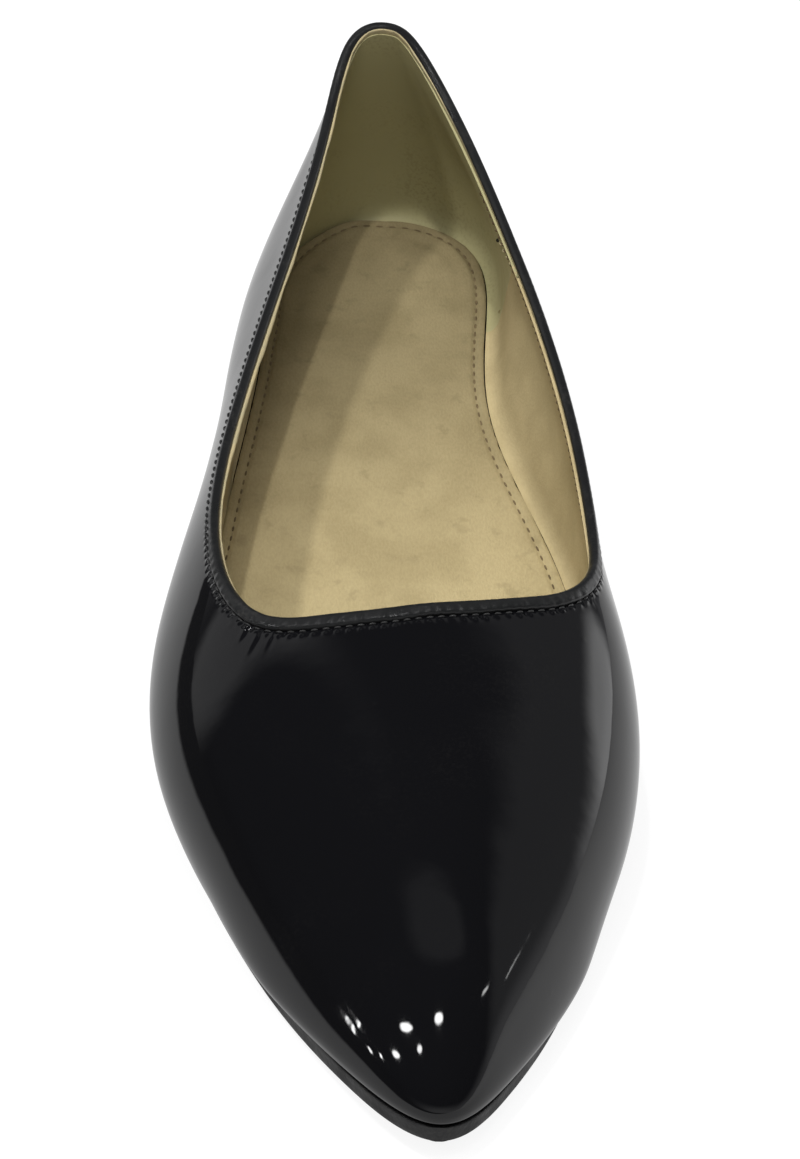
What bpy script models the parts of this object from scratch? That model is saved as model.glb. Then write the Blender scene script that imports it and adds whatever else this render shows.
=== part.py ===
# A woman's pointed ballet flat for the right foot, in metres. The toe points to -Y, the
# inner (medial) side of the foot is at +X, and the shoe stands on its heel and forefoot at Z = 0.

import math

import bmesh
import bpy
import numpy as np

# Driving sizes of the last and the sole
LENGTH = 0.254
BALL_WIDTH = 0.080
BACK_HEIGHT = 0.053
HEEL_HEIGHT = 0.0065
TOE_SPRING = 0.0046

# Walls and layers
SOLE_THICKNESS = 0.0033
UPPER_WALL = 0.0016
INSOLE_THICKNESS = 0.0020
BINDING_THICKNESS = 0.0006

# Edges, margins and clearances
SEAT_GAP = 0.0003
LASTING_MARGIN = 0.0045
FEATHER_RADIUS = 0.0024
TOE_WELT = 0.0012
SOLE_INSET = 0.0012
SOLE_EDGE_CHAMFER = 0.0007
INSOLE_CLEARANCE = 0.0018
INSOLE_EDGE_ROUND = 0.0006
HEEL_TAPER = 0.0012
BINDING_WIDTH = 0.0018

# Places along the shoe, as shares of LENGTH from the heel
HEEL_BREAST_SHARE = 0.215
SEAT_END_SHARE = 0.235
TREAD_START_SHARE = 0.62
TREAD_END_SHARE = 0.74
WELT_START_SHARE = 0.76

# One row for each profile line round the last, from the heel's back, along the outer side, to
# the toe and home along the inner side. Each line climbs from the sole's edge to the topline,
# and bends towards two points: bulge and rise place the lower one, beside and above the sole's
# edge, and pull_along, pull_across and fall place the upper one, below the topline.
# The along columns are shares of LENGTH from the heel; the across columns and bulge are shares
# of BALL_WIDTH; rise, top_height and fall are shares of BACK_HEIGHT.
PROFILE_COLUMNS = (
    "sole_along", "sole_across", "bulge", "rise",
    "top_along", "top_across", "top_height",
    "pull_along", "pull_across", "fall",
)
PROFILES = (
    (0.000, 0.030, 0.040, 0.34, 0.026, 0.000, 1.000, 0.014, 0.000, 0.265),
    (0.034, -0.163, 0.032, 0.34, 0.036, -0.091, 0.948, 0.030, -0.120, 0.265),
    (0.109, -0.287, 0.042, 0.34, 0.105, -0.155, 0.755, 0.101, -0.195, 0.265),
    (0.240, -0.343, 0.074, 0.30, 0.235, -0.247, 0.642, 0.231, -0.310, 0.225),
    (0.400, -0.380, 0.091, 0.28, 0.390, -0.355, 0.632, 0.388, -0.417, 0.225),
    (0.540, -0.470, 0.117, 0.26, 0.530, -0.413, 0.688, 0.530, -0.483, 0.190),
    (0.660, -0.491, 0.122, 0.25, 0.622, -0.373, 0.738, 0.636, -0.488, 0.170),
    (0.762, -0.415, 0.092, 0.25, 0.659, -0.283, 0.770, 0.722, -0.385, 0.155),
    (0.862, -0.273, 0.062, 0.25, 0.664, -0.165, 0.805, 0.780, -0.225, 0.170),
    (0.948, -0.101, 0.045, 0.26, 0.663, -0.055, 0.829, 0.810, -0.065, 0.188),
    (1.002, 0.075, 0.035, 0.27, 0.659, 0.050, 0.843, 0.817, 0.090, 0.204),
    (0.957, 0.223, 0.045, 0.26, 0.654, 0.156, 0.840, 0.801, 0.238, 0.188),
    (0.873, 0.363, 0.060, 0.25, 0.646, 0.264, 0.827, 0.760, 0.380, 0.170),
    (0.782, 0.458, 0.088, 0.25, 0.631, 0.367, 0.800, 0.696, 0.498, 0.155),
    (0.690, 0.512, 0.086, 0.25, 0.598, 0.433, 0.764, 0.615, 0.537, 0.170),
    (0.567, 0.514, 0.040, 0.26, 0.531, 0.447, 0.697, 0.524, 0.487, 0.190),
    (0.418, 0.440, 0.018, 0.28, 0.390, 0.413, 0.630, 0.388, 0.448, 0.225),
    (0.262, 0.305, 0.046, 0.30, 0.230, 0.317, 0.646, 0.228, 0.368, 0.225),
    (0.109, 0.314, 0.044, 0.34, 0.108, 0.203, 0.755, 0.103, 0.241, 0.265),
    (0.027, 0.236, 0.033, 0.34, 0.038, 0.081, 0.930, 0.031, 0.111, 0.265),
)

# Mesh fineness
RAYS_PER_ROW = 5
WALL_STEPS = 10
SOLE_STATIONS = 44
FINE_STEPS = 60
END_STATION_SHARE = 0.0015
SMALL_SHARE = 0.001
ROLL_ANGLES = (160, 120, 75, 30)
SHARP_ANGLE = 40

# Colour, roughness and metallic value of each material
FINISHES = {
    "patent_leather": ((0.008, 0.008, 0.010), 0.05, 0.0),
    "binding_patent": ((0.012, 0.012, 0.014), 0.25, 0.0),
    "suede_sock": ((0.42, 0.34, 0.20), 0.90, 0.0),
    "outsole_rubber": ((0.015, 0.015, 0.016), 0.55, 0.0),
    "heel_rubber": ((0.012, 0.012, 0.013), 0.45, 0.0),
}


def clear_scene():
    for obj in list(bpy.data.objects):
        bpy.data.objects.remove(obj)


def make_collection(name):
    collection = bpy.data.collections.new(name)
    bpy.context.scene.collection.children.link(collection)
    return collection


def make_material(name):
    colour, roughness, metallic = FINISHES[name]
    material = bpy.data.materials.new(name)
    material.use_nodes = True
    shader = material.node_tree.nodes["Principled BSDF"]
    shader.inputs["Base Color"].default_value = (*colour, 1.0)
    shader.inputs["Roughness"].default_value = roughness
    shader.inputs["Metallic"].default_value = metallic
    return material


def add_object(name, bm, finish, collection):
    """The bmesh as a smooth-shaded object with its faces pointing out."""
    bmesh.ops.recalc_face_normals(bm, faces=bm.faces)
    mesh = bpy.data.meshes.new(name)
    bm.to_mesh(mesh)
    bm.free()
    mesh.materials.append(make_material(finish))
    mesh.shade_smooth()
    mesh.set_sharp_from_angle(angle=math.radians(SHARP_ANGLE))
    obj = bpy.data.objects.new(name, mesh)
    collection.objects.link(obj)
    return obj


# Curves of the last

def closed_spline(rows, places):
    """A periodic cubic spline through the rows, read at places counted in rows."""
    count = len(rows)
    identity = np.eye(count)
    system = 4 * identity + np.roll(identity, 1, 0) + np.roll(identity, -1, 0)
    second = 6 * (np.roll(rows, -1, 0) - 2 * rows + np.roll(rows, 1, 0))
    bend = np.linalg.solve(system, second)
    here = np.floor(places).astype(int) % count
    after = (here + 1) % count
    t = (places - np.floor(places))[:, None]
    s = 1 - t
    straight = s * rows[here] + t * rows[after]
    return straight + ((s**3 - s) * bend[here] + (t**3 - t) * bend[after]) / 6


def smooth_step(x):
    x = np.clip(x, 0.0, 1.0)
    return x * x * (3 - 2 * x)


def sole_bottom(along):
    """Height of the outsole's underside at a share of the length from the heel."""
    arch = HEEL_HEIGHT * (1 - smooth_step((along - SEAT_END_SHARE) / (TREAD_START_SHARE - SEAT_END_SHARE)))
    spring = TOE_SPRING * np.clip((along - TREAD_END_SHARE) / (1 - TREAD_END_SHARE), 0.0, None) ** 2
    return arch + spring


def sole_top(along):
    return sole_bottom(along) + SOLE_THICKNESS


def place(along, across, height):
    """World points from shares along the shoe and metres across and up."""
    return np.stack([across, LENGTH * (0.5 - along), height], axis=1)


def on_sole(points):
    """The same points in plan, a seat gap over the outsole."""
    heights = sole_top(0.5 - points[:, 1] / LENGTH) + SEAT_GAP
    return np.stack([points[:, 0], points[:, 1], heights], axis=1)


def plan_normals(loop):
    """Level unit vectors that point out of a closed loop, which runs from heel to outer side."""
    step = np.roll(loop, -1, 0) - np.roll(loop, 1, 0)
    normal = np.stack([-step[:, 1], step[:, 0], np.zeros(len(loop))], axis=1)
    normal /= np.linalg.norm(normal, axis=1)[:, None]
    outward = np.sum(normal * (loop - loop.mean(0)))
    return normal if outward > 0 else -normal


class Last:
    """The outer form of the shoe, as cubic profile lines from the sole's edge to the topline."""

    def __init__(self, places):
        values = closed_spline(np.array(PROFILES), places)
        column = dict(zip(PROFILE_COLUMNS, values.T))
        self.along = column["sole_along"]
        base = sole_top(self.along) + SEAT_GAP
        self.feather = place(self.along, column["sole_across"] * BALL_WIDTH, base)
        rim = sole_top(column["top_along"]) + SEAT_GAP + column["top_height"] * BACK_HEIGHT
        self.topline = place(column["top_along"], column["top_across"] * BALL_WIDTH, rim)
        self.feather_out = plan_normals(self.feather)
        up = np.array([0.0, 0.0, 1.0])
        bulge = self.feather_out * (column["bulge"] * BALL_WIDTH)[:, None]
        self.lower_pull = self.feather + bulge + up * (column["rise"] * BACK_HEIGHT)[:, None]
        below_rim = rim - column["fall"] * BACK_HEIGHT
        self.upper_pull = place(
            column["pull_along"], column["pull_across"] * BALL_WIDTH, below_rim
        )

    def wall(self, share):
        """Points at a share of the way from the sole's edge to the topline."""
        t = np.broadcast_to(np.asarray(share, float), (len(self.along),))[:, None]
        s = 1 - t
        lower = s**3 * self.feather + 3 * s * s * t * self.lower_pull
        return lower + 3 * s * t * t * self.upper_pull + t**3 * self.topline

    def normal(self, share):
        """Unit normals of the wall, pointing out of the shoe."""
        share = np.broadcast_to(np.asarray(share, float), (len(self.along),))
        rise = self.wall(share + SMALL_SHARE) - self.wall(share - SMALL_SHARE)
        row = self.wall(share)
        run = np.roll(row, -1, 0) - np.roll(row, 1, 0)
        normal = np.cross(run, rise)
        normal /= np.linalg.norm(normal, axis=1)[:, None]
        outward = np.sum(normal * plan_normals(row))
        return normal if outward > 0 else -normal

    def share_after(self, distance, start, end):
        """The share at which each profile line has run this far from start towards end."""
        shares = np.linspace(start, end, FINE_STEPS)
        rows = np.array([self.wall(share) for share in shares])
        lengths = np.linalg.norm(np.diff(rows, axis=0), axis=2)
        travelled = np.vstack([np.zeros(len(self.along)), np.cumsum(lengths, axis=0)])
        found = [np.interp(distance, travelled[:, ray], shares) for ray in range(len(self.along))]
        return np.array(found)

    def share_above_sole(self, distance):
        return self.share_after(distance, 0.0, 0.5)

    def share_below_top(self, distance):
        return self.share_after(distance, 1.0, 0.5)


def last_rays():
    """Even places round the last, counted in table rows."""
    return np.arange(len(PROFILES) * RAYS_PER_ROW) / RAYS_PER_ROW


# Lofts

def loft_rings(bm, rings, closed_section):
    """Faces between closed rings of points; with closed_section the last ring meets the first.
    Each quad is split the same way, so that two surfaces a gap apart stay parallel."""
    vertices = [[bm.verts.new(point) for point in ring] for ring in rings]
    pairs = list(zip(vertices, vertices[1:]))
    if closed_section:
        pairs.append((vertices[-1], vertices[0]))
    for lower, upper in pairs:
        for here in range(len(lower)):
            after = (here + 1) % len(lower)
            bm.faces.new((lower[here], lower[after], upper[after], upper[here]))
    bmesh.ops.triangulate(bm, faces=bm.faces, quad_method="FIXED")
    return vertices


def loft_sections(sections):
    """A closed solid through a row of closed sections, capped at both ends."""
    bm = bmesh.new()
    vertices = loft_rings(bm, sections, closed_section=False)
    bm.faces.new(vertices[0])
    bm.faces.new(vertices[-1])
    return bm


def outline_edges(loop, stations):
    """The two X edges, outer and inner side, of a closed plan loop at each station."""
    loop = np.roll(loop, -int(np.argmax(loop[:, 1])), 0)
    toe = int(np.argmin(loop[:, 1]))
    outer = loop[: toe + 1]
    inner = np.vstack([loop[toe:], loop[:1]])
    x_outer = np.interp(-stations, -outer[:, 1], outer[:, 0])
    x_inner = np.interp(stations, inner[:, 1], inner[:, 0])
    return x_outer, x_inner


def fine_outline(offset):
    """The sole's edge in plan, moved out by offset, which may change from ray to ray."""
    places = np.arange(0, len(PROFILES), 1 / FINE_STEPS)
    last = Last(places)
    return last.feather + last.feather_out * np.asarray(offset(last.along))[:, None]


def end_spaced_stations(loop, count):
    """Y stations from heel to toe, closer together where the outline rounds off."""
    angle = np.linspace(0, math.pi, count)
    share = END_STATION_SHARE + (1 - 2 * END_STATION_SHARE) * (1 - np.cos(angle)) / 2
    heel, toe = loop[:, 1].max(), loop[:, 1].min()
    return heel + (toe - heel) * share


def plate_section(x_outer, x_inner, y, low, high, round_low, round_high):
    """One cross section of a flat layer, with its long edges cut back by the two rounds."""
    widest_cut = (x_inner - x_outer) / 5
    cut_low = min(round_low, widest_cut)
    cut_high = min(round_high, widest_cut)
    middle = (x_outer + x_inner) / 2
    return [
        (x_outer + cut_low, y, low),
        (middle, y, low),
        (x_inner - cut_low, y, low),
        (x_inner, y, low + cut_low),
        (x_inner, y, high - cut_high),
        (x_inner - cut_high, y, high),
        (middle, y, high),
        (x_outer + cut_high, y, high),
        (x_outer, y, high - cut_high),
        (x_outer, y, low + cut_low),
    ]


def make_plate(name, offset, low_of, high_of, rounds, finish, collection):
    """A layer under the foot: its outline follows the sole's edge, its faces follow the arch."""
    loop = fine_outline(offset)
    stations = end_spaced_stations(loop, SOLE_STATIONS)
    x_outer, x_inner = outline_edges(loop, stations)
    along = 0.5 - stations / LENGTH
    sections = [
        plate_section(xo, xi, y, low, high, *rounds)
        for xo, xi, y, low, high in zip(x_outer, x_inner, stations, low_of(along), high_of(along))
    ]
    return add_object(name, loft_sections(sections), finish, collection)


# Pieces

def make_upper(collection):
    """The patent shell: a turned-in lasting margin, a rounded feather edge and the wall."""
    last = Last(last_rays())
    wall_foot = last.share_above_sole(FEATHER_RADIUS)
    margin_edge = on_sole(last.feather - last.feather_out * LASTING_MARGIN)
    bend_start = on_sole(last.feather - last.feather_out * FEATHER_RADIUS)
    corner = (bend_start + 2 * last.feather + last.wall(wall_foot)) / 4
    binding_edge = last.share_below_top(BINDING_WIDTH)
    rings = [margin_edge, bend_start, corner]
    for step in np.linspace(0.0, 1.0, WALL_STEPS):
        rings.append(last.wall(wall_foot + (binding_edge - wall_foot) * step))
    rings.append(last.wall(last.share_below_top(BINDING_WIDTH / 2)))
    rings.append(last.topline)
    bm = bmesh.new()
    loft_rings(bm, rings, closed_section=False)
    obj = add_object("upper", bm, "patent_leather", collection)
    point_outward(obj)
    shell = obj.modifiers.new("wall", "SOLIDIFY")
    shell.thickness = UPPER_WALL
    shell.offset = -1.0
    shell.use_even_offset = True
    shell.use_rim = True
    return obj


def point_outward(obj):
    """Turns an open shell's faces so that those at its widest side point away from it."""
    mesh = obj.data
    widest = max(mesh.polygons, key=lambda face: face.center.x)
    if widest.normal.x < 0:
        mesh.flip_normals()


def make_binding(collection):
    """A strip folded over the topline, down the outside and flush with the wall inside."""
    last = Last(last_rays())
    edge = last.topline
    out = last.normal(1.0)
    up = edge - last.wall(last.share_below_top(BINDING_THICKNESS))
    up /= np.linalg.norm(up, axis=1)[:, None]
    over = SEAT_GAP + BINDING_THICKNESS
    legs = []
    for part_of_width in (1.0, 0.5):
        share = last.share_below_top(BINDING_WIDTH * part_of_width)
        legs.append((last.wall(share), last.normal(share)))
    rings = [point + normal * SEAT_GAP for point, normal in legs]
    rings.append(edge + (out + up) * SEAT_GAP)
    rings.append(edge - out * UPPER_WALL + up * SEAT_GAP)
    middle = edge + out * (over - UPPER_WALL) / 2 + up * SEAT_GAP
    half_width = (over + UPPER_WALL) / 2
    for turn in np.radians(ROLL_ANGLES):
        side = out * half_width * math.cos(turn)
        rings.append(middle + side + up * BINDING_THICKNESS * math.sqrt(math.sin(turn)))
    rings.append(edge + out * over)
    rings += [point + normal * over for point, normal in reversed(legs)]
    bm = bmesh.new()
    loft_rings(bm, rings, closed_section=True)
    return add_object("topline_binding", bm, "binding_patent", collection)


def welt_offset(along):
    """How far the outsole stands out past the upper's edge: tucked in, then proud at the toe."""
    toeward = smooth_step((along - WELT_START_SHARE) / (1 - WELT_START_SHARE))
    return -SOLE_INSET + (SOLE_INSET + TOE_WELT) * toeward


def make_outsole(collection):
    rounds = (SOLE_EDGE_CHAMFER, SOLE_EDGE_CHAMFER)
    return make_plate(
        "outsole", welt_offset, sole_bottom, sole_top, rounds, "outsole_rubber", collection
    )


def insole_base(along):
    """The insole lies on the upper's turned-in margin."""
    return sole_top(along) + 2 * SEAT_GAP + UPPER_WALL


def make_insole(collection):
    inset = UPPER_WALL + INSOLE_CLEARANCE
    rounds = (INSOLE_EDGE_ROUND, INSOLE_EDGE_ROUND)
    return make_plate(
        "insole",
        lambda along: np.full(len(along), -inset),
        insole_base,
        lambda along: insole_base(along) + INSOLE_THICKNESS,
        rounds,
        "suede_sock",
        collection,
    )


def make_heel(collection):
    """A low block under the seat, with a flat breast, that narrows a little to the floor."""
    loop = fine_outline(welt_offset)
    stations = end_spaced_stations(loop, 2 * SOLE_STATIONS)
    breast = LENGTH * (0.5 - HEEL_BREAST_SHARE)
    stations = np.append(stations[stations > breast], breast)
    x_outer, x_inner = outline_edges(loop, stations)
    middle = (x_outer[-1] + x_inner[-1]) / 2
    outline = [(x, y) for x, y in zip(x_outer, stations)]
    outline += [(x, y) for x, y in zip(x_inner[::-1], stations[::-1])]
    half_length = (stations[0] - breast) / 2
    centre_y = breast + half_length
    half_width = (x_inner[-1] - x_outer[-1]) / 2
    top = HEEL_HEIGHT - SEAT_GAP
    levels = (
        (0.0, HEEL_TAPER + SOLE_EDGE_CHAMFER),
        (SOLE_EDGE_CHAMFER, HEEL_TAPER),
        (top, 0.0),
    )
    rings = []
    for height, tuck in levels:
        shrink_x = 1 - tuck / half_width
        shrink_y = 1 - tuck / half_length
        ring = [
            (middle + (x - middle) * shrink_x, centre_y + (y - centre_y) * shrink_y, height)
            for x, y in outline
        ]
        rings.append(ring)
    return add_object("heel", loft_sections(rings), "heel_rubber", collection)


def main():
    clear_scene()
    shoe = make_collection("ballet_flat_right")
    make_upper(shoe)
    make_binding(shoe)
    make_insole(shoe)
    make_outsole(shoe)
    make_heel(shoe)


main()
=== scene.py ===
import math

import bmesh
import bpy
import numpy as np
from mathutils import Matrix, Vector


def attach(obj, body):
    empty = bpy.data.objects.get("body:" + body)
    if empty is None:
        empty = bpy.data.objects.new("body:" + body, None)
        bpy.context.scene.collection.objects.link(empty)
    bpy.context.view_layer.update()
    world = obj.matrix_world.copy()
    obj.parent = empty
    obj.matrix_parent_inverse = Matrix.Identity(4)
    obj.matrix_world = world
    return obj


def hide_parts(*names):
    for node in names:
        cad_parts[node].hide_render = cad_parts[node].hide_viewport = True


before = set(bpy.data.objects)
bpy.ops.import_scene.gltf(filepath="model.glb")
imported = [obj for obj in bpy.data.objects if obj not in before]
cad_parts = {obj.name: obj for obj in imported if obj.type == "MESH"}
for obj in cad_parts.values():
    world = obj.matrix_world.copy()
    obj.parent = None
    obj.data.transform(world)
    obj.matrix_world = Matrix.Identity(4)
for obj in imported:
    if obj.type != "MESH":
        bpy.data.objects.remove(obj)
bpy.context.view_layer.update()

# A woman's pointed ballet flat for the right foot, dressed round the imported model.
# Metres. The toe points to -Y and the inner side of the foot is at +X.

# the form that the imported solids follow
lastForm = {
    "length": 0.254,
    "ballWidth": 0.080,
    "backHeight": 0.053,
    "heelHeight": 0.0065,
    "toeSpring": 0.0046,
    "soleThickness": 0.0033,
    "upperWall": 0.0016,
    "insoleThickness": 0.0020,
    "seatGap": 0.0003,
    "lastingMargin": 0.0045,
    "featherRadius": 0.0024,
    "toeWelt": 0.0012,
    "soleInset": 0.0012,
    "insoleClearance": 0.0018,
    "bindingWidth": 0.0018,
    "seatEnd": 0.235,
    "treadStart": 0.62,
    "treadEnd": 0.74,
    "weltStart": 0.76,
    "heelBreast": 0.215,
}

# one row a profile line, from the heel's back along the outer side to the toe and home:
# shares of the length (along), of the ball width (across, bulge) and of the back's height
profileColumns = (
    "soleAlong", "soleAcross", "bulge", "rise",
    "topAlong", "topAcross", "topHeight",
    "pullAlong", "pullAcross", "fall",
)
profileRows = (
    (0.000, 0.030, 0.040, 0.34, 0.026, 0.000, 1.000, 0.014, 0.000, 0.265),
    (0.034, -0.163, 0.032, 0.34, 0.036, -0.091, 0.948, 0.030, -0.120, 0.265),
    (0.109, -0.287, 0.042, 0.34, 0.105, -0.155, 0.755, 0.101, -0.195, 0.265),
    (0.240, -0.343, 0.074, 0.30, 0.235, -0.247, 0.642, 0.231, -0.310, 0.225),
    (0.400, -0.380, 0.091, 0.28, 0.390, -0.355, 0.632, 0.388, -0.417, 0.225),
    (0.540, -0.470, 0.117, 0.26, 0.530, -0.413, 0.688, 0.530, -0.483, 0.190),
    (0.660, -0.491, 0.122, 0.25, 0.622, -0.373, 0.738, 0.636, -0.488, 0.170),
    (0.762, -0.415, 0.092, 0.25, 0.659, -0.283, 0.770, 0.722, -0.385, 0.155),
    (0.862, -0.273, 0.062, 0.25, 0.664, -0.165, 0.805, 0.780, -0.225, 0.170),
    (0.948, -0.101, 0.045, 0.26, 0.663, -0.055, 0.829, 0.810, -0.065, 0.188),
    (1.002, 0.075, 0.035, 0.27, 0.659, 0.050, 0.843, 0.817, 0.090, 0.204),
    (0.957, 0.223, 0.045, 0.26, 0.654, 0.156, 0.840, 0.801, 0.238, 0.188),
    (0.873, 0.363, 0.060, 0.25, 0.646, 0.264, 0.827, 0.760, 0.380, 0.170),
    (0.782, 0.458, 0.088, 0.25, 0.631, 0.367, 0.800, 0.696, 0.498, 0.155),
    (0.690, 0.512, 0.086, 0.25, 0.598, 0.433, 0.764, 0.615, 0.537, 0.170),
    (0.567, 0.514, 0.040, 0.26, 0.531, 0.447, 0.697, 0.524, 0.487, 0.190),
    (0.418, 0.440, 0.018, 0.28, 0.390, 0.413, 0.630, 0.388, 0.448, 0.225),
    (0.262, 0.305, 0.046, 0.30, 0.230, 0.317, 0.646, 0.228, 0.368, 0.225),
    (0.109, 0.314, 0.044, 0.34, 0.108, 0.203, 0.755, 0.103, 0.241, 0.265),
    (0.027, 0.236, 0.033, 0.34, 0.038, 0.081, 0.930, 0.031, 0.111, 0.265),
)
rowCount = len(profileRows)
upward = np.array([0.0, 0.0, 1.0])


def closedSpline(rows, places):
    count = len(rows)
    identity = np.eye(count)
    system = 4 * identity + np.roll(identity, 1, 0) + np.roll(identity, -1, 0)
    second = 6 * (np.roll(rows, -1, 0) - 2 * rows + np.roll(rows, 1, 0))
    bend = np.linalg.solve(system, second)
    here = np.floor(places).astype(int) % count
    after = (here + 1) % count
    t = (places - np.floor(places))[:, None]
    s = 1 - t
    straight = s * rows[here] + t * rows[after]
    return straight + ((s**3 - s) * bend[here] + (t**3 - t) * bend[after]) / 6


def smoothStep(x):
    x = np.clip(x, 0.0, 1.0)
    return x * x * (3 - 2 * x)


def between(x, start, rise, end, fall):
    return smoothStep((x - start) / rise) * smoothStep((end - x) / fall)


def bell(distance, width):
    return np.exp(-((distance / width) ** 2))


def bezier(a, b, c, d, t):
    s = 1 - t
    return s**3 * a + 3 * s * s * t * b + 3 * s * t * t * c + t**3 * d


def soleBottom(along):
    form = lastForm
    arched = (along - form["seatEnd"]) / (form["treadStart"] - form["seatEnd"])
    past = np.clip((along - form["treadEnd"]) / (1 - form["treadEnd"]), 0.0, None)
    return form["heelHeight"] * (1 - smoothStep(arched)) + form["toeSpring"] * past**2


def soleTop(along):
    return soleBottom(along) + lastForm["soleThickness"]


def insoleBase(along):
    return soleTop(along) + 2 * lastForm["seatGap"] + lastForm["upperWall"]


def insoleTop(along):
    return insoleBase(along) + lastForm["insoleThickness"]


def alongOf(points):
    return 0.5 - points[..., 1] / lastForm["length"]


def worldPoints(along, across, height):
    return np.stack([across, lastForm["length"] * (0.5 - along), height], axis=-1)


def onSole(points, lift=lastForm["seatGap"]):
    return np.stack([points[..., 0], points[..., 1], soleTop(alongOf(points)) + lift], axis=-1)


def unit(vectors):
    return vectors / np.linalg.norm(vectors, axis=-1)[..., None]


def alongLoop(loop):
    return np.roll(loop, -1, 0) - np.roll(loop, 1, 0)


def planNormals(loop):
    step = alongLoop(loop)
    normal = unit(np.stack([-step[:, 1], step[:, 0], np.zeros(len(loop))], axis=1))
    return normal if np.sum(normal * (loop - loop.mean(0))) > 0 else -normal


# outward in plan from the last's foot, at places that need not be neighbours
def footNormals(places):
    small, rows = 0.004, np.array(profileRows)
    step = closedSpline(rows, places + small) - closedSpline(rows, places - small)
    run = worldPoints(step[:, 0] + 0.5, step[:, 1] * lastForm["ballWidth"], 0 * step[:, 0])
    return unit(np.stack([run[:, 1], -run[:, 0], 0 * run[:, 0]], axis=1))


def shapeLast(places):
    values = closedSpline(np.array(profileRows), places)
    column = dict(zip(profileColumns, values.T))
    width, back, gap = lastForm["ballWidth"], lastForm["backHeight"], lastForm["seatGap"]
    last = {"places": places, "along": column["soleAlong"]}
    last["feather"] = worldPoints(
        column["soleAlong"], column["soleAcross"] * width, soleTop(column["soleAlong"]) + gap
    )
    rim = soleTop(column["topAlong"]) + gap + column["topHeight"] * back
    last["topline"] = worldPoints(column["topAlong"], column["topAcross"] * width, rim)
    last["featherOut"] = footNormals(places)
    bulge = last["featherOut"] * (column["bulge"] * width)[:, None]
    last["lowerPull"] = last["feather"] + bulge + upward * (column["rise"] * back)[:, None]
    last["upperPull"] = worldPoints(
        column["pullAlong"], column["pullAcross"] * width, rim - column["fall"] * back
    )
    return last


def wallPoints(last, share):
    t = np.broadcast_to(np.asarray(share, float), (len(last["along"]),))[:, None]
    return bezier(last["feather"], last["lowerPull"], last["upperPull"], last["topline"], t)


def wallNormals(last, share):
    small = 0.001
    share = np.broadcast_to(np.asarray(share, float), (len(last["along"]),))
    rise = wallPoints(last, share + small) - wallPoints(last, share - small)
    row = wallPoints(last, share)
    normal = unit(np.cross(alongLoop(row), rise))
    return normal if np.sum(normal * planNormals(row)) > 0 else -normal


def offWall(last, share, lift):
    return wallPoints(last, share) + wallNormals(last, share) * np.reshape(lift, (-1, 1))


# outward normals at scattered places, each from its own two near neighbours
def rayNormals(places, share):
    small = 0.004
    before, after = shapeLast(places - small), shapeLast(places + small)
    last = shapeLast(places)
    run = wallPoints(after, share) - wallPoints(before, share)
    rise = wallPoints(last, share + 0.001) - wallPoints(last, share - 0.001)
    normal = unit(np.cross(run, rise))
    away = wallPoints(last, share) - np.array([0.0, 0.0, 0.02])
    away[:, 1] *= 0.4
    flip = np.sign(np.sum(normal * away, axis=1))
    return normal * np.where(flip == 0, 1, flip)[:, None]


def shareAfter(last, distance, start, end):
    shares = np.linspace(start, end, 80)
    rows = np.array([wallPoints(last, share) for share in shares])
    steps = np.linalg.norm(np.diff(rows, axis=0), axis=2)
    travelled = np.vstack([np.zeros(len(last["along"])), np.cumsum(steps, axis=0)])
    distance = np.broadcast_to(distance, (len(last["along"]),))
    return np.array([np.interp(far, path, shares) for far, path in zip(distance, travelled.T)])


def belowRim(last, distance):
    return shareAfter(last, distance, 1.0, 0.5)


def rimUp(last):
    return unit(last["topline"] - wallPoints(last, belowRim(last, 0.0006)))


def loopLength(loop):
    return np.concatenate([[0.0], np.cumsum(np.linalg.norm(np.roll(loop, -1, 0) - loop, axis=1))])


# places round the last that are even both at the topline and at the sole's edge
def evenPlaces(count):
    fine = np.linspace(0, rowCount, 4001)[:-1]
    last = shapeLast(fine)
    travelled = loopLength(last["topline"]) + loopLength(last["feather"])
    return np.interp(np.arange(count) / count * travelled[-1], travelled, np.append(fine, rowCount))


# meshes

# rows of points, each joined to the next and the last to the first; without caps each row is a
# loop, and with them it is open and both ends are closed, face by face where they are paired
def surfaceMesh(name, points, material, caps=None):
    rings, around = points.shape[:2]
    columns = np.arange(around - 1 if caps else around)
    i, j = np.meshgrid(np.arange(rings), columns, indexing="ij")
    iNext, jNext = (i + 1) % rings, (j + 1) % around
    corners = [i * around + j, i * around + jNext, iNext * around + jNext, iNext * around + j]
    faces = np.stack(corners, axis=-1).reshape(-1, 4).tolist()
    if caps == "paired":
        for end in (0, around - 1):
            for ring in range(rings // 2 - 1):
                pair = (ring, ring + 1, rings - 2 - ring, rings - 1 - ring)
                faces.append([here * around + end for here in pair])
    elif caps:
        faces.append([ring * around for ring in range(rings)][::-1])
        faces.append([ring * around + around - 1 for ring in range(rings)])
    mesh = bpy.data.meshes.new(name)
    mesh.from_pydata(points.reshape(-1, 3).tolist(), [], faces)
    return finishMesh(name, mesh, material)


def finishMesh(name, mesh, material, sharpDegrees=55):
    bm = bmesh.new()
    bm.from_mesh(mesh)
    bmesh.ops.recalc_face_normals(bm, faces=bm.faces)
    bm.to_mesh(mesh)
    bm.free()
    mesh.shade_smooth()
    mesh.set_sharp_from_angle(angle=math.radians(sharpDegrees))
    mesh.materials.append(material)
    piece = bpy.data.objects.new(name, mesh)
    bpy.context.scene.collection.objects.link(piece)
    return piece


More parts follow.
